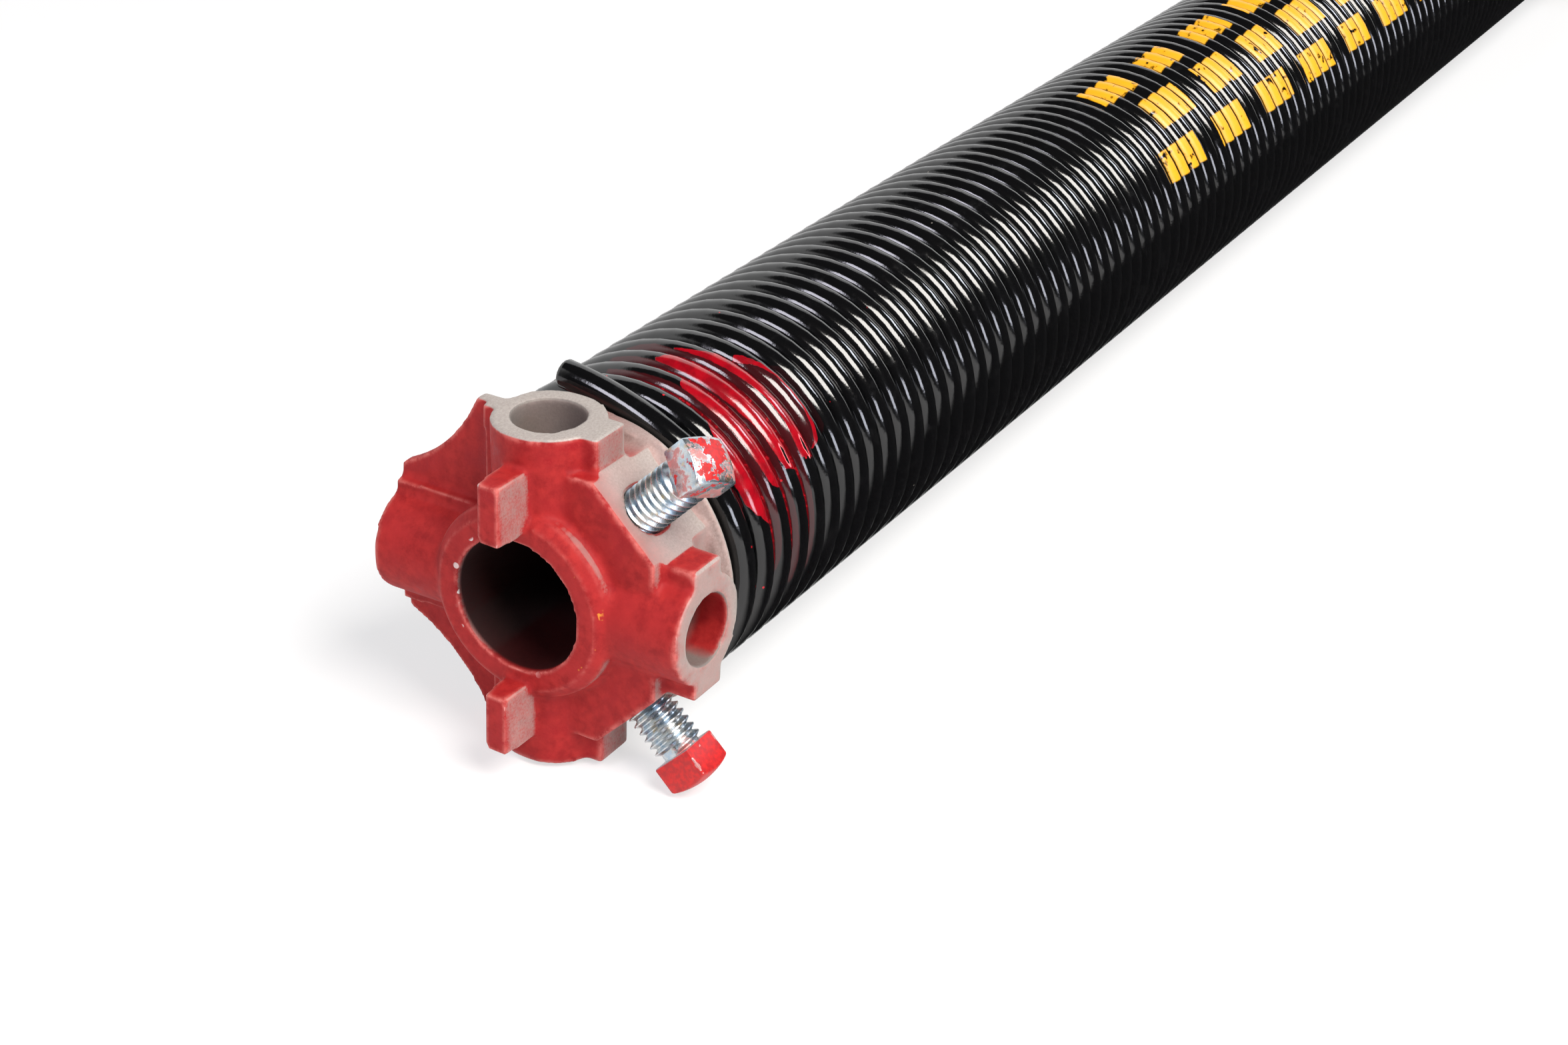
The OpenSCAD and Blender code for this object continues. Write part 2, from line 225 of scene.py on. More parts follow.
def guide(tree, value, points):
    """A quantity drawn as straight lines between (value, quantity) points; both lie within -90 to 180."""
    low, span = -90.0, 270.0
    along = add(tree, "Math.DIVIDE", add(tree, "Math.SUBTRACT", value, low), span)
    node = add(tree, "FloatCurve", {"Value": along})
    line = node.mapping.curves[0]
    places = [((x - low) / span, (y - low) / span) for x, y in points]
    line.points[0].location, line.points[1].location = places[0], places[-1]
    for spot in places[1:-1]:
        line.points.new(*spot)
    for spot in line.points:
        spot.handle_type = "VECTOR"
    node.mapping.extend = "HORIZONTAL"
    node.mapping.update()
    return add(tree, "Math.MULTIPLY_ADD", node, span, low)


def object_from(bm, name, material, smooth=True):
    """A finished mesh object at the origin from a bmesh."""
    mesh = bpy.data.meshes.new(name)
    bm.to_mesh(mesh)
    bm.free()
    for face in mesh.polygons:
        face.use_smooth = smooth
    mesh.materials.append(material)
    thing = bpy.data.objects.new(name, mesh)
    bpy.context.scene.collection.objects.link(thing)
    return thing


# ---------------------------------------------------------------- materials


# Where the printed bars start behind the hub's face, and how long one group and all of them are, in mm.
PRINT_START, PRINT_GROUP, PRINT_LENGTH = 232.0, 31.0, 217.5

# How the marking brush painted each turn. A row is an angle round the shaft, how far round the wire the thin
# paint reaches from the gap in front, and from where to where the full paint lies; 0 is the wire's crown.
STROKE = {
    1: ((14, -90, 60, 60), (15, -90, 37, 60), (17, -90, 6, 60), (21, -90, -31, 60), (26, -64, -56, 60),
        (32, -70, -62, 60), (38, -90, -60, 60), (46, -90, -36, 60), (54, -90, -6, 60), (58, -90, 24, 60),
        (60, -90, 60, 60)),
    2: ((-8, -90, 60, 60), (-6, -57, 60, 60), (2, -38, 60, 60), (10, -32, 60, 60), (22, -27, 60, 60),
        (23, -26, 42, 60), (26, -24, -10, 60), (28, -24, -22, 60), (40, -32, -32, 60), (54, -36, -36, 60),
        (64, -38, -38, 60), (74, -29, -29, 60), (76, -29, 0, 60), (77, -29, 60, 60), (90, -36, 60, 60),
        (103, -40, 60, 60), (106, -90, 60, 60)),
    3: ((-20, -90, 60, 60), (-18, -48, 60, 60), (-8, -36, 60, 60), (6, -36, 60, 60), (24, -39, 60, 60),
        (26, -37, 30, 60), (28, -36, -24, 60), (34, -36, -36, 60), (44, -39, -39, 60), (54, -51, -51, 60),
        (64, -57, -57, 60), (80, -51, -51, 60), (87, -46, -46, 60), (90, -42, -42, -6), (92, -39, -39, -30),
        (94, -37, 60, -30), (100, -33, 60, -30), (110, -38, 60, -30), (113, -90, 60, -30)),
    4: ((-20, -90, 60, 60), (-18, -54, 60, 60), (-6, -46, 60, 60), (10, -39, 60, 60), (24, -36, 60, 60),
        (26, -36, 34, 60), (28, -34, -33, 60), (36, -28, -28, 60), (42, -20, -20, 60), (52, -18, -18, 60),
        (62, -26, -26, 60), (70, -32, -32, 60), (76, -35, -35, 32), (79, -36, -36, 7), (83, -38, -38, -12),
        (87, -40, -40, -26), (92, -40, -41, -34), (95, -34, 60, -34), (100, -27, 60, -34),
        (106, -33, 60, -34), (112, -46, 60, -34), (114, -90, 60, -34)),
    5: ((27, -90, 60, -50), (28, -52, -60, -50), (30, -24, -34, -15), (36, -8, -12, 7), (42, 4, 0, 16),
        (50, 6, 3, 17), (58, 4, 0, 16), (64, -18, -22, 4), (70, -50, -56, -21), (73, -60, -64, -38),
        (75, -90, 60, -50)),
    6: ((28, -90, 60, 60), (32, -44, 60, 60), (50, -36, 60, 60), (60, -42, 60, 60), (66, -90, 60, 60)),
}


def enamelled_spring_wire(sizes):
    """Oil-tempered spring steel under black baked enamel: a deep black with sharp window-like highlights,
    brushed with red marking paint near the winding end, and printed further along with plain yellow bars."""
    material, tree, shader = new_material("enamelled_spring_wire")
    place = add(tree, "Attribute", attribute_name="laid_at").outputs["Vector"]
    on_wire = add(tree, "Attribute", attribute_name="on_wire").outputs["Vector"]
    wound, inner, outer = add(tree, "SeparateXYZ", on_wire).outputs
    right, up = measure(tree, place, RIGHT), measure(tree, place, UP)
    depth = measure(tree, place, -OUT)
    angle = add(tree, "Math.DEGREES", add(tree, "Math.ARCTAN2", up, right))
    section = add(tree, "Math.DEGREES", add(tree, "Math.ARCTAN2", inner, outer))
    since_leaving = add(tree, "Math.SUBTRACT", math.degrees(sizes.leave), angle)
    turn = add(tree, "Math.ROUND", add(tree, "Math.MULTIPLY_ADD", since_leaving, -1 / 360, wound))

    # the brush stroke, its edges roughened
    ragged = add(tree, "Math.MULTIPLY",
        add(tree, "Math.SUBTRACT", add(tree, "TexNoise", place, per_mm(1.6), 4.0, 0.6), 0.5), 9.0)
    brushed = add(tree, "Math.ADD", section, ragged)
    spot = add(tree, "Math.ADD", angle, add(tree, "Math.MULTIPLY", ragged, 0.25))
    thin_share, full_share = 0.0, 0.0
    for number, rows in STROKE.items():
        here = add(tree, "Math.COMPARE", turn, number, 0.1)
        reach, near, far = (guide(tree, spot, [(row[0], row[k]) for row in rows]) for k in (1, 2, 3))
        thin = add(tree, "MapRange.SMOOTHSTEP", add(tree, "Math.SUBTRACT", reach, brushed), -1.0, 3.0)
        full = add(tree, "Math.MULTIPLY",
            add(tree, "MapRange.SMOOTHSTEP", add(tree, "Math.SUBTRACT", brushed, near), -2.0, 2.0),
            add(tree, "MapRange.SMOOTHSTEP", add(tree, "Math.SUBTRACT", far, brushed), -1.0, 2.0))
        thin_share = add(tree, "Math.MULTIPLY_ADD", here, thin, thin_share)
        full_share = add(tree, "Math.MULTIPLY_ADD", here, full, full_share)
    thin_share = add(tree, "Math.MULTIPLY", thin_share, add(tree, "MapRange.LINEAR", turn, 6.4, 4.6))

    # two flakes of the full paint have broken off, each with a pale rim
    flake = 0.0
    for number, at_section, at_angle in ((3, 2.0, 32.6), (4, 5.6, 31.0)):
        aside = add(tree, "Math.DIVIDE", add(tree, "Math.SUBTRACT", brushed, at_section), 2.2)
        ahead = add(tree, "Math.SUBTRACT", spot, at_angle)
        off = add(tree, "Math.MULTIPLY_ADD", aside, aside, add(tree, "Math.MULTIPLY", ahead, ahead))
        near = add(tree, "MapRange.LINEAR", add(tree, "Math.SQRT", off), 9.0, 0.0)
        near = add(tree, "Math.MULTIPLY", add(tree, "Math.COMPARE", turn, number, 0.1), near)
        flake = add(tree, "Math.MAXIMUM", flake, near)
    chipped = add(tree, "MapRange.SMOOTHSTEP", flake, 0.56, 0.6)
    pale_rim = add(tree, "Math.MULTIPLY", add(tree, "MapRange.SMOOTHSTEP", flake, 0.43, 0.5),
        add(tree, "MapRange.SMOOTHSTEP", flake, 0.62, 0.58))

    # thick wet paint has stayed in the gaps beside the stroke, and small drops lie beyond it
    beside_stroke = add(tree, "Math.MULTIPLY", add(tree, "MapRange.SMOOTHSTEP", angle, -6.0, 4.0),
        add(tree, "MapRange.SMOOTHSTEP", angle, 104.0, 96.0))
    gap_paint = add(tree, "Math.MULTIPLY", beside_stroke, band(tree, turn, 1.6, 4.4, 0.2))
    gap_paint = add(tree, "Math.MULTIPLY", gap_paint,
        add(tree, "MapRange.SMOOTHSTEP", brushed, -62.0, -70.0))
    dots = add(tree, "TexVoronoi", {"Vector": place, "Scale": per_mm(4.0)}, feature="F1")
    rare = add(tree, "SeparateColor", {"Color": dots.outputs["Color"]}).outputs
    drop = add(tree, "Math.MULTIPLY",
        add(tree, "MapRange.SMOOTHSTEP", dots.outputs["Distance"], 0.075, 0.055),
        add(tree, "MapRange.SMOOTHSTEP", rare[0], 0.8, 0.81))
    drop = add(tree, "Math.MULTIPLY", drop, add(tree, "MapRange.SMOOTHSTEP", depth, 110.0, 60.0))
    dust = add(tree, "Math.MULTIPLY",
        add(tree, "MapRange.SMOOTHSTEP", dots.outputs["Distance"], 0.05, 0.03),
        add(tree, "MapRange.SMOOTHSTEP", rare[0], 0.2, 0.19))

    # plain yellow bars printed on the crowns of the wires
    print_at = add(tree, "Math.SUBTRACT", depth, PRINT_START)
    cell = add(tree, "Math.FRACT", add(tree, "Math.DIVIDE", print_at, PRINT_GROUP))
    rows = add(tree, "Math.MAXIMUM", band(tree, angle, 76, 90, 1), band(tree, angle, 28, 42, 1))
    rows = add(tree, "Math.MULTIPLY", rows, band(tree, cell, 0.03, 0.65, 0.01))
    middle_row = band(tree, angle, 51, 67, 1)
    middle_row = add(tree, "Math.MULTIPLY", middle_row, band(tree, cell, 0.37, 0.97, 0.01))
    printed = add(tree, "Math.MAXIMUM", rows, middle_row)
    printed = add(tree, "Math.MULTIPLY", printed, band(tree, print_at, 0.5, PRINT_LENGTH - 0.5, 0.5))
    crown = add(tree, "MapRange.SMOOTHSTEP", outer, 0.56, 0.68)
    worn = add(tree, "MapRange.SMOOTHSTEP", add(tree, "TexNoise", place, per_mm(2.2), 3.0), 0.3, 0.42)
    printed = add(tree, "Math.MULTIPLY", printed, add(tree, "Math.MULTIPLY", crown, worn))

    # fine scuffs lie in the enamel; its orange peel, really about 0.3 mm, is drawn at 0.6 mm so that it shows
    scuff = add(tree, "TexNoise", place, per_mm(3.5), 5.0, 0.65)
    scuff = add(tree, "MapRange.SMOOTHSTEP", scuff, 0.56, 0.68)
    grain = add(tree, "TexNoise", place, per_mm(0.6), 3.0, 0.6)
    colour = add(tree, "Mix.RGBA", add(tree, "Math.MULTIPLY", scuff, 0.5), tuple(sizes.enamel) + (1.0,),
        srgb("#111112"))
    colour = add(tree, "Mix.RGBA", dust, colour, srgb("#77736c"))
    thin_red = add(tree, "Mix.RGBA", add(tree, "TexNoise", place, per_mm(5.0), 3.0), srgb("#300a0e"),
        srgb("#451015"))
    full_red = add(tree, "Mix.RGBA",
        add(tree, "MapRange.SMOOTHSTEP", add(tree, "TexNoise", place, per_mm(3.0), 4.0, 0.6), 0.35, 0.6),
        srgb("#7c0311"), srgb("#980415"))
    colour = add(tree, "Mix.RGBA", add(tree, "Math.MULTIPLY", thin_share, 0.9), colour, thin_red)
    thick = add(tree, "MapRange.SMOOTHSTEP", add(tree, "TexNoise", place, per_mm(0.9), 2.0), 0.55, 0.65)
    gap_red = add(tree, "Mix.RGBA", thick, srgb("#7c0a14"), srgb("#d01a26"))
    colour = add(tree, "Mix.RGBA", add(tree, "Math.MULTIPLY", gap_paint, 0.85), colour, gap_red)
    colour = add(tree, "Mix.RGBA", full_share, colour, full_red)
    colour = add(tree, "Mix.RGBA", chipped, colour, srgb("#101011"))
    colour = add(tree, "Mix.RGBA", pale_rim, colour, srgb("#f0787c"))
    colour = add(tree, "Mix.RGBA", drop, colour, srgb("#b80d1c"))
    colour = add(tree, "Mix.RGBA", printed, colour, srgb("#e3a20c"))
    feed(tree, shader, {"Base Color": colour})
    roughness = add(tree, "Math.MULTIPLY_ADD", scuff, 0.08, 0.1)
    roughness = add(tree, "Math.MULTIPLY_ADD", printed, 0.3, roughness)
    roughness = add(tree, "Math.MULTIPLY_ADD", full_share, 0.06, roughness)
    feed(tree, shader, {"Roughness": roughness})
    shader.inputs["IOR"].default_value = 1.6
    height = add(tree, "Math.MULTIPLY_ADD", full_share, 0.8, grain)
    height = add(tree, "Math.SUBTRACT", height, add(tree, "Math.MULTIPLY", chipped, 0.8))
    bump = add(tree, "Bump", {"Height": height, "Strength": 0.2, "Distance": 0.06 * MM})
    feed(tree, shader, {"Normal": bump.outputs["Normal"]})
    return material


def sprayed_cast_aluminium(sizes):
    """Sand-rough die-cast aluminium sprayed red from the front left: full matte red where the spray struck, a
    pink dust of overspray on the sides it missed, wet crimson in corners, bare metal where it was masked. The
    crimson in the corners and under the bosses is also painted shade, the bore and the sockets' insides are
    painted darker as painted shade, and the pale edges are partly dust and partly a painted edge highlight."""
    material, tree, shader = new_material("sprayed_cast_aluminium")
    coords = add(tree, "TexCoord")
    place, normal = coords.outputs["Object"], coords.outputs["Normal"]
    spray = (OUT * 0.86 - RIGHT * 0.44 + UP * 0.16).normalized()
    facing = add(tree, "VectorMath.DOT_PRODUCT", normal, spray)
    behind = add(tree, "Math.MULTIPLY", measure(tree, place, OUT), -1.0)
    right = measure(tree, place, RIGHT)
    up = measure(tree, place, UP)
    radius = add(tree, "Math.SQRT",
        add(tree, "Math.ADD", add(tree, "Math.MULTIPLY", up, up), add(tree, "Math.MULTIPLY", right, right)))
    # the casting's sandy grain is really about 0.2 mm, and is drawn at 0.45 mm so that it shows
    fine = add(tree, "TexNoise", place, per_mm(0.45), 3.0, 0.7)
    coarse = add(tree, "TexNoise", place, per_mm(6.0), 4.0, 0.6)
    mottle = add(tree, "TexNoise", place, per_mm(2.4), 4.0, 0.68)
    curve = add(tree, "NewGeometry").outputs["Pointiness"]
    open_air = add(tree, "AmbientOcclusion", {"Distance": 5 * MM}, samples=6).outputs["AO"]

    # how fully the paint covers: by the spray's direction, less towards the back, in a fine powdery grain
    lit = add(tree, "Math.ADD", facing,
        add(tree, "Math.MULTIPLY", add(tree, "Math.SUBTRACT", fine, 0.5), 0.9))
    lit = add(tree, "Math.ADD", lit,
        add(tree, "Math.MULTIPLY", add(tree, "Math.SUBTRACT", coarse, 0.5), 0.5))
    cover = add(tree, "MapRange.SMOOTHSTEP", lit, -1.0, 0.05)
    far_back = add(tree, "MapRange.SMOOTHSTEP", behind, 14.0, 24.0)
    bareness = add(tree, "Math.MULTIPLY_ADD", add(tree, "MapRange.SMOOTHSTEP", right, -8.0, 14.0), 0.5, 0.28)
    cover = less(tree, cover, add(tree, "Math.MULTIPLY", far_back, bareness))

    # the top socket's end was masked; the right one's is half dusted
    reach = MOUNTS["winding_bar_socket_top"]["pos_m"]
    end = Vector(reach).dot(UP) / MM
    top_end = add(tree, "MapRange.SMOOTHSTEP", up, end - 0.55, end - 0.25)
    right_end = add(tree, "MapRange.SMOOTHSTEP", right, end - 0.45, end - 0.15)
    patches = add(tree, "Math.MULTIPLY", right_end, add(tree, "MapRange.SMOOTHSTEP", coarse, 0.35, 0.6))
    cover = less(tree, less(tree, cover, top_end, 0.97), patches, 0.55)

    # the flat that the upper screw goes into is only dusted, most of all along its front edge
    flat = add(tree, "MapRange.SMOOTHSTEP",
        add(tree, "VectorMath.DOT_PRODUCT", normal, (RIGHT + UP).normalized()), 0.93, 0.98)
    behind_edge = add(tree, "Math.MULTIPLY_ADD", coarse, 6.0, behind)
    behind_edge = add(tree, "MapRange.SMOOTHSTEP", behind_edge, 6.0, 15.0)
    bareness = add(tree, "Math.MULTIPLY_ADD", behind_edge, 0.5, 0.3)
    cover = less(tree, cover, add(tree, "Math.MULTIPLY", flat, bareness))

    # inside the sockets the metal is nearly bare, but the right one has a red wall
    in_socket = None
    hole = MOUNTS["winding_bar_socket_top"]["dims"]["r_mm"] + 0.25
    for name in ("top", "right", "left", "bottom"):
        mount = MOUNTS["winding_bar_socket_" + name]
        axis = Vector(mount["axis"])
        from_mouth = add(tree, "VectorMath.SUBTRACT", place, Vector(mount["pos_m"])).outputs[0]
        depth = add(tree, "VectorMath.DOT_PRODUCT", from_mouth, axis)
        beside = add(tree, "VectorMath.SCALE", {0: axis, 3: depth}).outputs[0]
        off_axis = add(tree, "VectorMath.SUBTRACT", from_mouth, beside).outputs[0]
        width = add(tree, "Math.MULTIPLY", add(tree, "VectorMath.LENGTH", off_axis),
            1 / MM)
        inside = add(tree, "Math.MULTIPLY",
            add(tree, "MapRange.SMOOTHSTEP", width, hole + 0.15, hole - 0.05),
            add(tree, "MapRange.SMOOTHSTEP", depth, -0.018, -0.016))
        in_socket = inside if in_socket is None else add(tree, "Math.MAXIMUM", in_socket, inside)
    drift = add(tree, "Math.MULTIPLY", add(tree, "MapRange.SMOOTHSTEP", facing, 0.1, 0.6),
        add(tree, "MapRange.SMOOTHSTEP", right, 24.0, 28.0))
    cover = less(tree, cover, in_socket, 0.92)
    cover = add(tree, "Math.MAXIMUM", cover, add(tree, "Math.MULTIPLY", in_socket, drift))

    # wet crimson paint gathers in corners and low on the bosses; its darker crimson, set by the occlusion in
    # corners and by the downward-facing sides, is also painted shade there
    corner = add(tree, "Math.MAXIMUM", add(tree, "MapRange.SMOOTHSTEP", curve, 0.475, 0.43),
        add(tree, "MapRange.SMOOTHSTEP", open_air, 0.72, 0.4))
    under = add(tree, "MapRange.SMOOTHSTEP",
        add(tree, "VectorMath.DOT_PRODUCT", normal, UP), 0.25, -0.1)
    pooled_and_shaded = add(tree, "Math.MULTIPLY",
        add(tree, "Math.MULTIPLY", add(tree, "MapRange.SMOOTHSTEP", coarse, 0.5, 0.66), under),
        add(tree, "MapRange.SMOOTHSTEP", radius, 19.0, 24.0))
    wet_paint_and_shade = add(tree, "Math.MULTIPLY", add(tree, "Math.MAXIMUM", corner, pooled_and_shaded),
        add(tree, "MapRange.SMOOTHSTEP", fine, 0.3, 0.55))
    wet_paint_and_shade = add(tree, "Math.MULTIPLY", wet_paint_and_shade, add(tree, "MapRange.SMOOTHSTEP", cover, 0.25, 0.6))

    # chips on the bore's rim and along the sharpest edges, down to bright metal
    shard = add(tree, "TexVoronoi", {"Vector": place, "Scale": per_mm(1.7)}, feature="F1")
    few = add(tree, "SeparateColor", {"Color": shard.outputs["Color"]}).outputs[1]
    rim = add(tree, "Math.MULTIPLY", add(tree, "MapRange.SMOOTHSTEP", radius, BORE_R + 1.6, BORE_R + 0.9),
        add(tree, "MapRange.SMOOTHSTEP", behind, 0.9, 0.4))
    left_rim = add(tree, "Math.MULTIPLY", rim, add(tree, "MapRange.SMOOTHSTEP", right, 6.0, -2.0))
    chip = add(tree, "Math.MULTIPLY",
        add(tree, "Math.MULTIPLY", left_rim, add(tree, "MapRange.SMOOTHSTEP", few, 0.76, 0.79)),
        add(tree, "MapRange.SMOOTHSTEP", shard.outputs["Distance"], 0.42, 0.34))
    edge = add(tree, "Math.MULTIPLY", add(tree, "MapRange.SMOOTHSTEP", curve, 0.54, 0.6),
        add(tree, "MapRange.SMOOTHSTEP", add(tree, "TexNoise", place, per_mm(1.6), 3.0), 0.58, 0.66))
    chip = add(tree, "Math.MAXIMUM", chip,
        add(tree, "Math.MULTIPLY", edge, add(tree, "MapRange.SMOOTHSTEP", behind, 12.0, 9.0)))

    # two smears of yellow on the hub's right edge, and painted shade in the bore: its wall is painted nearly black
    # from the mouth inward
    smear = add(tree, "Math.MULTIPLY", add(tree, "MapRange.SMOOTHSTEP", behind, 2.4, 1.6),
        add(tree, "MapRange.SMOOTHSTEP", right, 11.0, 13.0))
    smear = add(tree, "Math.MULTIPLY", smear, band(tree, radius, 16.6, 18.0, 0.8))
    smear = add(tree, "Math.MULTIPLY", smear,
        add(tree, "MapRange.SMOOTHSTEP", add(tree, "TexNoise", place, per_mm(1.9), 2.0), 0.66, 0.72))
    bore_shade = add(tree, "Math.MULTIPLY",
        add(tree, "MapRange.SMOOTHSTEP", radius, BORE_R + 0.45, BORE_R + 0.15),
        add(tree, "MapRange.SMOOTHSTEP", behind, 0.0, 1.5))

    metal = add(tree, "Mix.RGBA", fine, srgb("#86807b"), srgb("#c4bdb6"))
    matte = add(tree, "Mix.RGBA", add(tree, "MapRange.SMOOTHSTEP", mottle, 0.3, 0.7), srgb("#861518"),
        srgb("#a32523"))
    matte = add(tree, "Mix.RGBA",
        add(tree, "Math.MULTIPLY", add(tree, "MapRange.SMOOTHSTEP", coarse, 0.4, 0.65), 0.7), matte,
        tuple(sizes.paint) + (1.0,))
    # the darker crimson is thick wet paint and painted shade in the corners and under the bosses
    paint = add(tree, "Mix.RGBA", wet_paint_and_shade, matte, srgb("#8a0410"))
    # a little of the pale dust lies on every painted edge; the same pale pink on the convex edges is also a
    # painted edge highlight
    dust_and_edge_highlight = add(tree, "Math.MULTIPLY", add(tree, "MapRange.SMOOTHSTEP", curve, 0.505, 0.56),
        add(tree, "MapRange.SMOOTHSTEP", mottle, 0.3, 0.6))
    paint = add(tree, "Mix.RGBA", add(tree, "Math.MULTIPLY", dust_and_edge_highlight, 0.6), paint, srgb("#cd7b73"))
    # painted shade: the bare metal inside the sockets is painted darker grey
    metal = add(tree, "Mix.RGBA", add(tree, "Math.MULTIPLY", in_socket, 0.7), metal, srgb("#6d6560"))
    colour = add(tree, "Mix.RGBA", cover, metal, paint)
    colour = add(tree, "Mix.RGBA", chip, colour, srgb("#e6dfdb"))
    colour = add(tree, "Mix.RGBA", smear, colour, srgb("#cc7f30"))
    # painted shade: the bore's wall nearly black
    colour = add(tree, "Mix.RGBA", add(tree, "Math.MULTIPLY", bore_shade, 0.95), colour, srgb("#1c0708"))
    feed(tree, shader, {"Base Color": colour})
    roughness = add(tree, "Math.SUBTRACT", 0.62, add(tree, "Math.MULTIPLY", wet_paint_and_shade, 0.24))
    feed(tree, shader, {"Roughness": roughness})
    shader.inputs["Specular IOR Level"].default_value = 0.2
    bare = add(tree, "Math.MULTIPLY", add(tree, "Math.SUBTRACT", 1.0, cover), 0.35)
    feed(tree, shader, {"Metallic": bare})
    skin = add(tree, "Math.ADD", add(tree, "Math.MULTIPLY", fine, 0.5),
        add(tree, "Math.MULTIPLY", add(tree, "TexNoise", place, per_mm(1.3), 2.0), 0.7))
    bump = add(tree, "Bump",
        {"Height": add(tree, "Math.SUBTRACT", skin, chip), "Strength": 0.5, "Distance": 0.12 * MM})
    feed(tree, shader, {"Normal": bump.outputs["Normal"]})
    return material


def bare_cast_aluminium():
    """Die-cast aluminium as it leaves the mould: dull silver grey with a fine grain and darker flow marks."""
    material, tree, shader = new_material("bare_cast_aluminium")
    place = add(tree, "TexCoord").outputs["Object"]
    # the die's grain is really about 0.2 mm, and is drawn at 0.5 mm so that it shows
    grain = add(tree, "TexNoise", place, per_mm(0.5), 4.0, 0.65)
    flow = add(tree, "TexNoise", place, per_mm(14.0), 5.0, 0.6)
    curve = add(tree, "NewGeometry").outputs["Pointiness"]
    metal = add(tree, "Mix.RGBA", grain, srgb("#8b8986"), srgb("#bdbab5"))
    metal = add(tree, "Mix.RGBA", add(tree, "MapRange.SMOOTHSTEP", flow, 0.45, 0.7), metal, srgb("#7b7977"))
    metal = add(tree, "Mix.RGBA", add(tree, "MapRange.SMOOTHSTEP", curve, 0.52, 0.6), metal,
        srgb("#d6d4d0"))
    feed(tree, shader, {"Base Color": metal})
    shader.inputs["Metallic"].default_value = 0.85
    feed(tree, shader, {"Roughness": add(tree, "Math.ADD", 0.38, add(tree, "Math.MULTIPLY", grain, 0.22))})
    bump = add(tree, "Bump", {"Height": grain, "Strength": 0.35, "Distance": 0.1 * MM})
    feed(tree, shader, {"Normal": bump.outputs["Normal"]})
    return material


def painted_zinc_plate(name, axis, head_at, chips):
    """Zinc-plated steel with a cool blue passivation: bright and slightly streaked, with glossy red paint
    dabbed over the head, which the chips break through to the plating."""
    material, tree, shader = new_material(name)
    coords = add(tree, "TexCoord")
    place = coords.outputs["Object"]
    outward = measure(tree, place, axis, head_at)
    turned = add(tree, "TexNoise", place, per_mm(0.9), 3.0)
    blotch = add(tree, "TexNoise", place, per_mm(3.2), 4.0, 0.62)
    curve = add(tree, "NewGeometry").outputs["Pointiness"]
    zinc = add(tree, "Mix.RGBA", add(tree, "MapRange.SMOOTHSTEP", blotch, 0.35, 0.65), srgb("#a9bccb"),
        srgb("#dcdcd8"))
    zinc = add(tree, "Mix.RGBA",
        add(tree, "MapRange.SMOOTHSTEP", add(tree, "TexNoise", place, per_mm(2.0), 2.0), 0.6, 0.75), zinc,
        srgb("#c9b79a"))
    on_head = add(tree, "MapRange.SMOOTHSTEP", outward, -0.1, 0.25)
    splashed = add(tree, "Math.MULTIPLY", add(tree, "MapRange.SMOOTHSTEP", outward, -2.6, -0.4),
        add(tree, "MapRange.SMOOTHSTEP", blotch, 0.52, 0.6))
    worn = add(tree, "Math.ADD",
        add(tree, "Math.MULTIPLY", add(tree, "MapRange.SMOOTHSTEP", curve, 0.5, 0.6), 0.45), blotch)
    paint = add(tree, "Math.MULTIPLY", on_head,
        add(tree, "MapRange.SMOOTHSTEP", worn, chips + 0.02, chips - 0.01))
    paint = add(tree, "Math.MAXIMUM", paint, add(tree, "Math.MULTIPLY", splashed, 0.7))
    red = add(tree, "Mix.RGBA", add(tree, "MapRange.SMOOTHSTEP", turned, 0.35, 0.7), srgb("#a00c10"),
        srgb("#c4120e"))
    feed(tree, shader, {"Base Color": add(tree, "Mix.RGBA", paint, zinc, red)})
    feed(tree, shader,
        {"Metallic": add(tree, "Math.SUBTRACT", 0.95, add(tree, "Math.MULTIPLY", paint, 0.95))})
    roughness = add(tree, "Math.ADD", 0.2, add(tree, "Math.MULTIPLY", turned, 0.16))
    feed(tree, shader,
        {"Roughness": add(tree, "Math.ADD", roughness, add(tree, "Math.MULTIPLY", paint, 0.2))})
    height = add(tree, "Math.ADD", add(tree, "Math.MULTIPLY", turned, 0.3),
        add(tree, "Math.MULTIPLY", paint, 0.9))
    bump = add(tree, "Bump", {"Height": height, "Strength": 0.4, "Distance": 0.06 * MM})
    feed(tree, shader, {"Normal": bump.outputs["Normal"]})
    return material


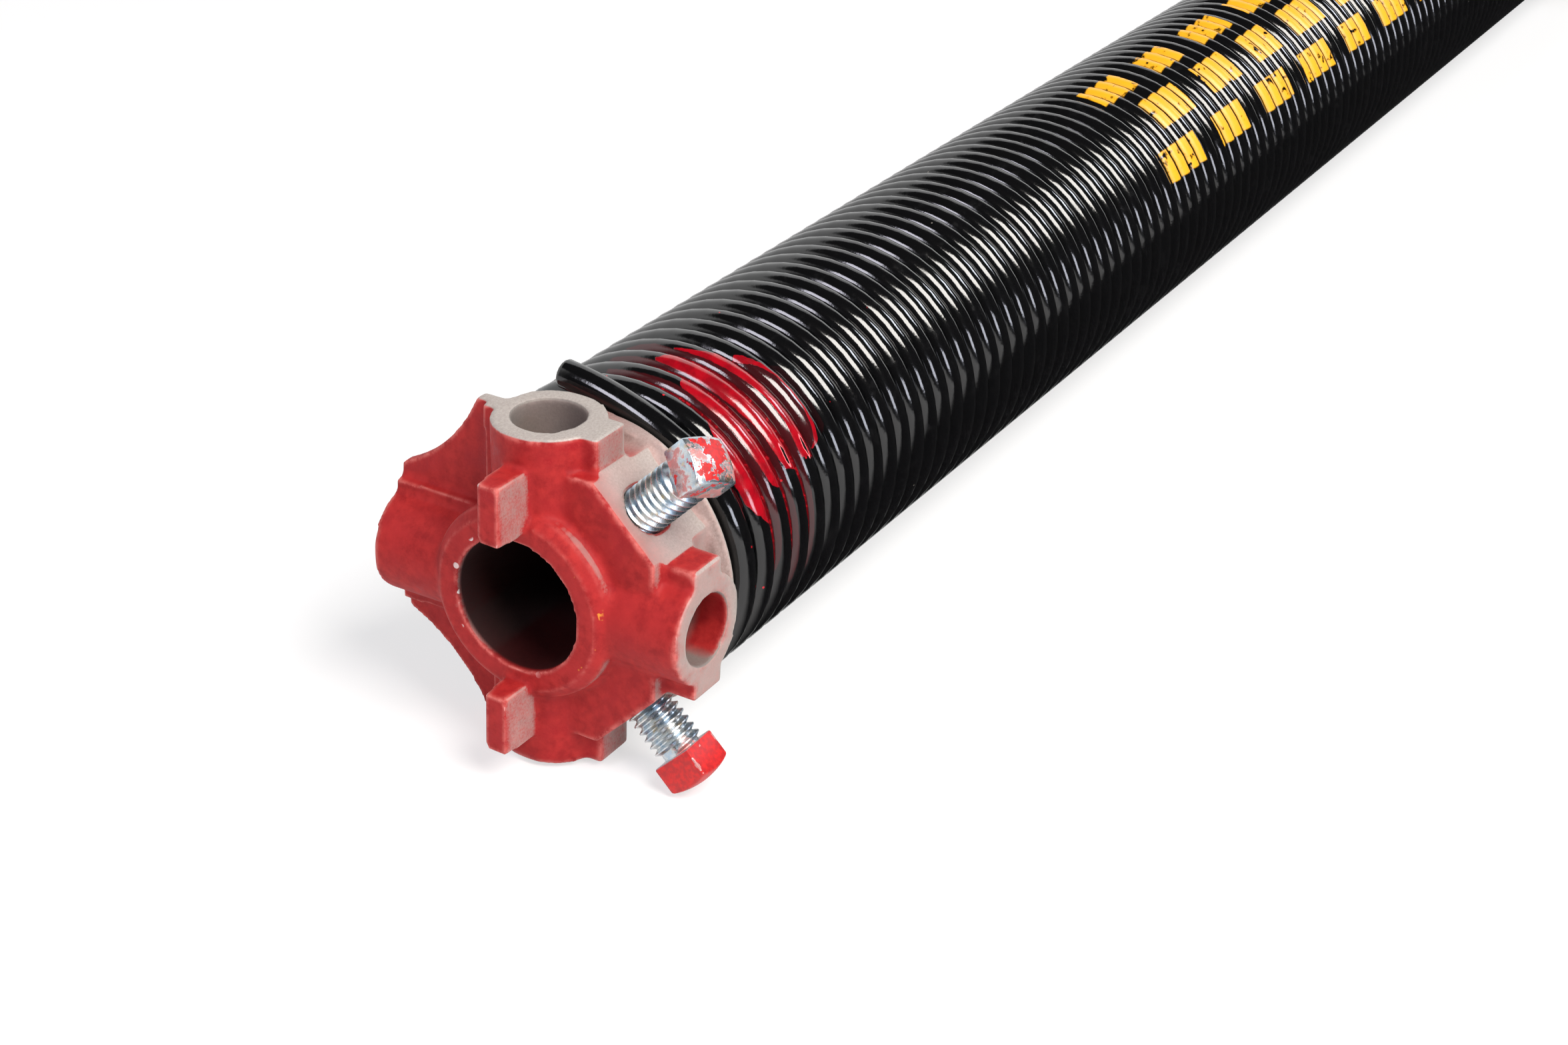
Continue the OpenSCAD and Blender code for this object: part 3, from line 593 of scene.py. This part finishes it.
def white_studio_floor():
    """Matte white paper, lit so that the camera sees it as white, with the object's shadow kept on it. Behind
    on the right it is dark in reflections, which keeps that side of the glossy wire black."""
    material, tree, shader = new_material("white_studio_floor")
    shader.inputs["Base Color"].default_value = srgb("#f4f4f4")
    shader.inputs["Roughness"].default_value = 0.9
    shader.inputs["Specular IOR Level"].default_value = 0.0
    place = add(tree, "TexCoord").outputs["Object"]
    card = add(tree, "Math.MULTIPLY",
        add(tree, "MapRange.SMOOTHSTEP", measure(tree, place, RIGHT), 12.0, 26.0),
        add(tree, "MapRange.SMOOTHSTEP", measure(tree, place, OUT), -16.0, -50.0))
    path = add(tree, "LightPath")
    shiny = add(tree, "Math.MAXIMUM", path.outputs["Is Glossy Ray"], path.outputs["Is Transmission Ray"])
    glow = add(tree, "Emission", {"Color": (1, 1, 1, 1), "Strength": 1.0})
    seen = add(tree, "Math.MAXIMUM", path.outputs["Is Camera Ray"], shiny)
    mixed = add(tree, "MixShader",
        {0: add(tree, "Math.MULTIPLY", seen, 0.62), 1: shader.outputs["BSDF"], 2: glow.outputs[0]})
    dark = add(tree, "Emission", {"Color": (1, 1, 1, 1), "Strength": 0.03})
    mixed = add(tree, "MixShader",
        {0: add(tree, "Math.MULTIPLY", card, shiny), 1: mixed.outputs[0], 2: dark.outputs[0]})
    out = next(node for node in tree.nodes if node.type == "OUTPUT_MATERIAL")
    feed(tree, out, {"Surface": mixed.outputs[0]})
    return material


# ---------------------------------------------------------------- pieces


def draw_on(bm, ring):
    """Draws an open end of the wire on by one ring of faces, and gives the new ring's edges and points."""
    made = bmesh.ops.extrude_edge_only(bm, edges=ring)["geom"]
    points = [item for item in made if isinstance(item, bmesh.types.BMVert)]
    edges = [item for item in made if isinstance(item, bmesh.types.BMEdge)]
    return [edge for edge in edges if all(v in points for v in edge.verts)], points


def spring_out(bm, ring, sizes, place, leave, side):
    """Bends an end of the wire out of the coil on its own wider arc, rounds its cut edge and closes it."""
    axis = OUT * side
    pivot = place - leave * sizes.tail_bend
    bends = 8
    bend = (sizes.tail - sizes.cut_edge) / sizes.tail_bend / bends
    for _ in range(bends):
        ring, points = draw_on(bm, ring)
        bmesh.ops.rotate(bm, verts=points, cent=pivot, matrix=Matrix.Rotation(bend, 3, axis))
    heart = sum((v.co for v in points), Vector()) / len(points)
    along = axis.cross((heart - pivot).normalized())
    done, width, rounds = 0.0, 1.0, 4
    for k in range(1, rounds + 1):
        turned = math.radians(90 * k / rounds)
        ring, points = draw_on(bm, ring)
        travel = sizes.cut_edge * math.sin(turned)
        narrow = 1 - sizes.cut_edge * (1 - math.cos(turned)) / (sizes.diameter / 2)
        bmesh.ops.translate(bm, verts=points, vec=along * (travel - done))
        bmesh.ops.scale(bm, verts=points, vec=Vector((1, 1, 1)) * narrow / width,
                        space=Matrix.Translation(-heart - along * travel))
        done, width = travel, narrow
    bmesh.ops.contextual_create(bm, geom=ring)


def coil_radius(sizes):
    """Distance from the shaft's axis to the middle of the wire."""
    return (sizes.inside + sizes.diameter) / 2


def extra_spread(sizes, wound):
    """How far the wider spacing on the cones' threads has pushed a turn on, after this many turns."""
    wound = min(max(wound, 0.0), sizes.turns)
    on_cones = min(wound, sizes.cone_turns) + max(0.0, wound - (sizes.turns - sizes.cone_turns))
    return (sizes.cone_gap - sizes.gap) * on_cones


class SPRING_OT_wind_wire(bpy.types.Operator):
    """Winds the enamelled wire into the coil, spreads its turns on the cones and springs out its cut ends"""
    bl_idname = "spring.wind_wire"
    bl_label = "Wind the wire"

    def execute(self, context):
        sizes = context.scene.spring_wire
        around, per_turn = 16, 50
        pitch = sizes.diameter + sizes.gap
        mean = coil_radius(sizes)
        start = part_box("spring_coil")[0].x + sizes.diameter / 2
        leave = RIGHT * math.cos(sizes.leave) + UP * math.sin(sizes.leave)
        bm = bmesh.new()
        turned = Matrix((leave, Vector((1, 0, 0)), leave.cross(Vector((1, 0, 0))))).transposed().to_4x4()
        near = Vector((start, 0, 0)) + leave * mean
        bmesh.ops.create_circle(bm, cap_ends=False, radius=sizes.diameter / 2, segments=around,
                                matrix=Matrix.Translation(near) @ turned)
        bmesh.ops.spin(bm, geom=bm.verts[:] + bm.edges[:], cent=(0, 0, 0), axis=(1, 0, 0),
                       dvec=(pitch / per_turn, 0, 0), angle=math.tau, steps=per_turn,
                       use_merge=False, use_duplicate=False)
        wire = object_from(bm, "spring_wire", enamelled_spring_wire(sizes))
        laps = wire.modifiers.new("turns", "ARRAY")
        laps.count = sizes.turns
        laps.use_relative_offset, laps.use_constant_offset = False, True
        laps.constant_offset_displace = (pitch, 0, 0)
        laps.use_merge_vertices, laps.merge_threshold = True, 0.01 * MM
        bm = bmesh.new()
        bm.from_mesh(wire.evaluated_get(context.evaluated_depsgraph_get()).to_mesh())
        wire.modifiers.clear()
        halfway = start + pitch * sizes.turns / 2
        open_ends = [e for e in bm.edges if e.is_boundary]
        first = [e for e in open_ends if e.verts[0].co.x < halfway]
        last = [e for e in open_ends if e.verts[0].co.x > halfway]
        if len(first) != around or len(last) != around:
            raise RuntimeError("the coil's turns have not joined into one wire")
        spring_out(bm, first, sizes, near, leave, 1)
        spring_out(bm, last, sizes, near + Vector((pitch * sizes.turns, 0, 0)), leave, -1)
        bmesh.ops.recalc_face_normals(bm, faces=bm.faces[:])

        # how many turns of wire lie before each point, counted from where the winding end leaves the coil
        winding = []
        for v in bm.verts:
            share = ((sizes.leave - math.atan2(v.co.dot(UP), v.co.dot(RIGHT))) / math.tau) % 1
            winding.append(share + round((v.co.x - start) / pitch - share))
        for v, wound in zip(bm.verts, winding):
            v.co.x += extra_spread(sizes, wound)
        for face in bm.faces:
            face.smooth = True
        bm.to_mesh(wire.data)
        bm.free()

        laid = wire.data.attributes.new("laid_at", "FLOAT_VECTOR", "POINT")
        laid.data.foreach_set("vector", [c for v in wire.data.vertices for c in v.co])
        on_wire = wire.data.attributes.new("on_wire", "FLOAT_VECTOR", "POINT")
        for spot, v, wound in zip(on_wire.data, wire.data.vertices, winding):
            inner = v.co.x - start - pitch * wound - extra_spread(sizes, wound)
            outer = math.hypot(v.co.y, v.co.z) - mean
            spot.vector = (wound, inner / (sizes.diameter / 2), outer / (sizes.diameter / 2))
        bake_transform(wire)
        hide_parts("spring_coil")
        return {"FINISHED"}


class SPRING_OT_cast_cone(bpy.types.Operator):
    """Gives the winding cone the soft edges and fillets of a casting, and its sprayed finish"""
    bl_idname = "spring.cast_cone"
    bl_label = "Cast the winding cone"

    def execute(self, context):
        sizes = context.scene.spring_casting
        bm = bmesh.new()
        bm.from_mesh(frame["nodes"]["winding_cone"].data)
        bmesh.ops.remove_doubles(bm, verts=bm.verts[:], dist=0.002 * MM)
        rough = object_from(bm, "winding_casting", sprayed_cast_aluminium(sizes))
        remesh = rough.modifiers.new("skin", "REMESH")
        remesh.mode = "VOXEL"
        remesh.voxel_size = sizes.grain
        remesh.use_smooth_shade = True
        soften = rough.modifiers.new("soften", "SMOOTH")
        soften.factor = 0.5
        soften.iterations = 3
        thin = rough.modifiers.new("thin", "DECIMATE")
        thin.ratio = 0.7
        shaped = bpy.data.meshes.new_from_object(rough.evaluated_get(context.evaluated_depsgraph_get()))
        rough.modifiers.clear()
        material = rough.data.materials[0]
        rough.data = shaped
        shaped.materials.clear()
        shaped.materials.append(material)
        for face in shaped.polygons:
            face.use_smooth = True
        if len(shaped.polygons) < 1000:
            raise RuntimeError("the casting's skin came out empty")
        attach(rough, "winding")
        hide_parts("winding_cone")
        return {"FINISHED"}


def threaded_screw(name, node, joint, sizes, chips):
    """A square-headed set screw on the line and at the turn of its solid."""
    axis = Vector(joint["axis"])
    points = [v.co for v in frame["nodes"][node].data.vertices]
    low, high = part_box(node)
    middle = Vector(((low.x + high.x) / 2, 0, 0))
    reach = [(p - middle).dot(axis) for p in points]
    tip, dome = min(reach), max(reach)
    seat = dome - sizes.height
    off = [(p - middle) - axis * (p - middle).dot(axis) for p in points]
    corner = max(off, key=lambda v: v.length).normalized()
    side = axis.cross(corner)
    frame_of = Matrix((corner, side, axis)).transposed().to_4x4()
    frame_of.translation = middle + axis * seat
    length = seat - tip

    bm = bmesh.new()
    # domed square head, its edges rounded
    bmesh.ops.create_grid(bm, x_segments=10, y_segments=10, size=sizes.flats / 2,
                          matrix=Matrix.Rotation(math.radians(45), 4, "Z"))
    rise = sizes.height - sizes.dome
    for v in bm.verts:
        v.co.z = rise + math.sqrt(sizes.dome ** 2 - v.co.xy.length_squared)
    border = [e for e in bm.edges if e.is_boundary]
    made = bmesh.ops.extrude_edge_only(bm, edges=border)["geom"]
    skirt = [item for item in made if isinstance(item, bmesh.types.BMVert)]
    for v in skirt:
        v.co.z = 0.0
    bmesh.ops.contextual_create(bm, geom=[e for e in bm.edges if e.is_boundary])
    bmesh.ops.recalc_face_normals(bm, faces=bm.faces[:])
    sharp = [e for e in bm.edges if len(e.link_faces) == 2 and e.calc_face_angle() > math.radians(35)]
    bmesh.ops.bevel(bm, geom=sharp, offset=sizes.edge, segments=2, profile=0.5, affect="EDGES", material=-1)

    # core of the shank, with its point turned down; it reaches a little into the head
    into_head = 0.2 * MM
    middles = into_head - (length - sizes.point) / 2, sizes.point / 2 - length
    for foot, long, at_z in zip((0, sizes.point), (length - sizes.point, sizes.point), middles):
        bmesh.ops.create_cone(bm, cap_ends=True, cap_tris=False, segments=40, radius1=sizes.root / 2 - foot,
                              radius2=sizes.root / 2, depth=long, matrix=Matrix.Translation((0, 0, at_z)))

    # one ridge of thread, wound from the point to just under the head; its outline is in radius and pitches
    crest, root = sizes.outside / 2, sizes.root / 2 - 0.08 * MM
    outline = [(root, -0.47), (crest, -0.07), (crest, 0.07), (root, 0.47)]
    foot = -length + 0.5 * MM
    ring = [bm.verts.new((r, 0, foot + z * sizes.pitch)) for r, z in outline]
    section = bm.faces.new(ring)
    per_turn = 48
    turns = (length - 1.3 * MM) / sizes.pitch
    steps = round(turns * per_turn)
    bmesh.ops.spin(bm, geom=[section] + list(section.edges) + ring, cent=(0, 0, 0), axis=(0, 0, 1),
                   dvec=(0, 0, sizes.pitch / per_turn), angle=math.tau * steps / per_turn, steps=steps,
                   use_merge=False, use_duplicate=False)
    bmesh.ops.recalc_face_normals(bm, faces=bm.faces[:])
    bmesh.ops.transform(bm, matrix=frame_of, verts=bm.verts[:])
    material = painted_zinc_plate("zinc_plate_" + name, axis, middle + axis * seat, chips)
    screw = object_from(bm, name, material, smooth=True)
    screw.data.set_sharp_from_angle(angle=math.radians(38))
    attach(screw, joint["child"])
    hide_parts(node)
    return screw


class SPRING_OT_thread_screws(bpy.types.Operator):
    """Cuts the two set screws' threads and shapes their domed square heads"""
    bl_idname = "spring.thread_screws"
    bl_label = "Thread the set screws"

    def execute(self, context):
        sizes = context.scene.spring_screws
        threaded_screw("threaded_screw_upper", "set_screw_upper", JOINTS["turn_set_screw_upper"], sizes, 0.52)
        threaded_screw("threaded_screw_lower", "set_screw_lower", JOINTS["turn_set_screw_lower"], sizes, 0.88)
        return {"FINISHED"}


class SPRING_OT_finish_anchor(bpy.types.Operator):
    """Gives the stationary cone its bare cast finish"""
    bl_idname = "spring.finish_anchor"
    bl_label = "Finish the stationary cone"

    def execute(self, context):
        cone = frame["nodes"]["stationary_cone"]
        metal = bare_cast_aluminium()
        for slot in cone.material_slots:
            slot.material = metal
        if not cone.material_slots:
            raise RuntimeError("the stationary cone has no material slot")
        return {"FINISHED"}


class SPRING_OT_set_stage(bpy.types.Operator):
    """Lays the pale floor and sets the lights, the world and the camera"""
    bl_idname = "spring.set_stage"
    bl_label = "Set the stage"

    def execute(self, context):
        scene = context.scene
        sizes = scene.spring_studio
        bm = bmesh.new()
        bmesh.ops.create_grid(bm, x_segments=1, y_segments=1, size=sizes.floor / 2,
                              matrix=Matrix.Translation((0.3, 0, CAD_LOW.z - 0.0002)))
        object_from(bm, "studio_floor", white_studio_floor(), smooth=False)

        # Each soft box is named with its turn from the coil's far end towards the right, its height, both in
        # degrees, how wide and high it looks from the spring, and its brightness beside a white of 1.
        target, away = at(10, 0, -60), 1.6
        for name, turn, height, wide, high, bright, colour in (
                ("soft_box_key", 107, 53, 29, 30, 17.0, "#fffaf4"),
                ("soft_box_back", 28, 34, 15, 10, 14.0, "#eef3ff"),
                ("soft_box_low", 103, 13, 18, 13, 10.0, "#eef1ff"),
                ("soft_box_front", -166, 40, 15, 20, 12.0, "#f3f1ff")):
            turn, height = math.radians(turn), math.radians(height)
            flat = Vector((math.cos(turn), -math.sin(turn), 0)) * math.cos(height)
            toward = flat + Vector((0, 0, math.sin(height)))
            lamp = bpy.data.lights.new(name, "AREA")
            lamp.shape = "RECTANGLE"
            lamp.size = 2 * away * math.tan(math.radians(wide / 2))
            lamp.size_y = 2 * away * math.tan(math.radians(high / 2))
            lamp.energy = bright * math.pi * lamp.size * lamp.size_y
            lamp.color = srgb(colour)[:3]
            holder = bpy.data.objects.new(name, lamp)
            holder.location = target + toward * away
            holder.rotation_mode = "QUATERNION"
            holder.rotation_quaternion = toward.to_track_quat("Z", "Y")
            scene.collection.objects.link(holder)

        world = bpy.data.worlds.new("studio_world")
        scene.world = world
        world.use_nodes = True
        tree = world.node_tree
        tree.nodes.clear()
        sky = add(tree, "TexCoord").outputs["Generated"]
        along, aside, height = add(tree, "SeparateXYZ", sky).outputs
        # a white backdrop stands behind and on the left; above it and on the right the room is dim
        turn = add(tree, "Math.DEGREES",
            add(tree, "Math.ARCTAN2", add(tree, "Math.MULTIPLY", aside, -1.0), along))
        edge = add(tree, "Math.MULTIPLY_ADD", height, 38.0, turn)
        backdrop = add(tree, "Math.MULTIPLY", add(tree, "MapRange.SMOOTHSTEP", height, 0.79, 0.71), add(
                tree, "Math.MULTIPLY", add(tree, "MapRange.SMOOTHSTEP", edge, 21.0, 13.0),
                add(tree, "MapRange.SMOOTHSTEP", turn, -150.0, -120.0)))
        path = add(tree, "LightPath")
        shiny = add(tree, "Math.MAXIMUM", path.outputs["Is Glossy Ray"],
            path.outputs["Is Transmission Ray"])
        dim = add(tree, "Math.MULTIPLY_ADD", shiny, -0.06, 0.1)
        room = add(tree, "Math.MULTIPLY_ADD", backdrop, add(tree, "Math.MULTIPLY_ADD", shiny, 0.75, 0.5),
            dim)
        seen = path.outputs["Is Camera Ray"]
        light = add(tree, "Background",
            {"Color": (1, 1, 1, 1), "Strength": add(tree, "Math.MAXIMUM", seen, room)})
        add(tree, "OutputWorld", {"Surface": light.outputs[0]})

        lens = bpy.data.cameras.new("camera")
        lens.sensor_width = 36
        lens.lens = sizes.lens
        lens.clip_start, lens.clip_end = 0.01, 50
        camera = bpy.data.objects.new("camera", lens)
        # where the camera stands, what it looks at, and how far it leans
        eye, aim, lean = at(236.86, 225.71, 312.39), at(37.27, 14.02, -30.9), math.radians(1.33)
        back = (eye - aim).normalized()
        across = UP.cross(back).normalized()
        level = Matrix((across, back.cross(across), back)).transposed().to_4x4()
        camera.matrix_world = Matrix.Translation(eye) @ level @ Matrix.Rotation(lean, 4, "Z")
        scene.collection.objects.link(camera)
        scene.camera = camera
        scene.view_settings.view_transform = "Standard"
        return {"FINISHED"}


class SPRING_PT_panel(bpy.types.Panel):
    """Lists the spring's pieces, in the order in which they are made"""
    bl_idname = "SPRING_PT_panel"
    bl_label = "Torsion spring"
    bl_space_type = "VIEW_3D"
    bl_region_type = "UI"
    bl_category = "Spring"

    def draw(self, context):
        scene = context.scene
        for group in (scene.spring_wire, scene.spring_screws, scene.spring_casting, scene.spring_studio):
            box = self.layout.box()
            for name in group.__annotations__:
                box.prop(group, name)
        for operator in OPERATORS:
            self.layout.operator(operator.bl_idname)


GROUPS = {"spring_wire": WireSizes, "spring_screws": ScrewSizes, "spring_casting": CastingSizes,
          "spring_studio": StudioSizes}
OPERATORS = (SPRING_OT_wind_wire, SPRING_OT_cast_cone, SPRING_OT_thread_screws, SPRING_OT_finish_anchor,
             SPRING_OT_set_stage)


def register():
    for name, group in GROUPS.items():
        bpy.utils.register_class(group)
        setattr(bpy.types.Scene, name, PointerProperty(type=group))
    for operator in OPERATORS + (SPRING_PT_panel,):
        bpy.utils.register_class(operator)


def unregister():
    for operator in (SPRING_PT_panel,) + OPERATORS[::-1]:
        bpy.utils.unregister_class(operator)
    for name, group in reversed(GROUPS.items()):
        delattr(bpy.types.Scene, name)
        bpy.utils.unregister_class(group)


def main():
    register()
    for step in ("wind_wire", "cast_cone", "thread_screws", "finish_anchor", "set_stage"):
        getattr(bpy.ops.spring, step)()


if __name__ == "__main__":
    main()
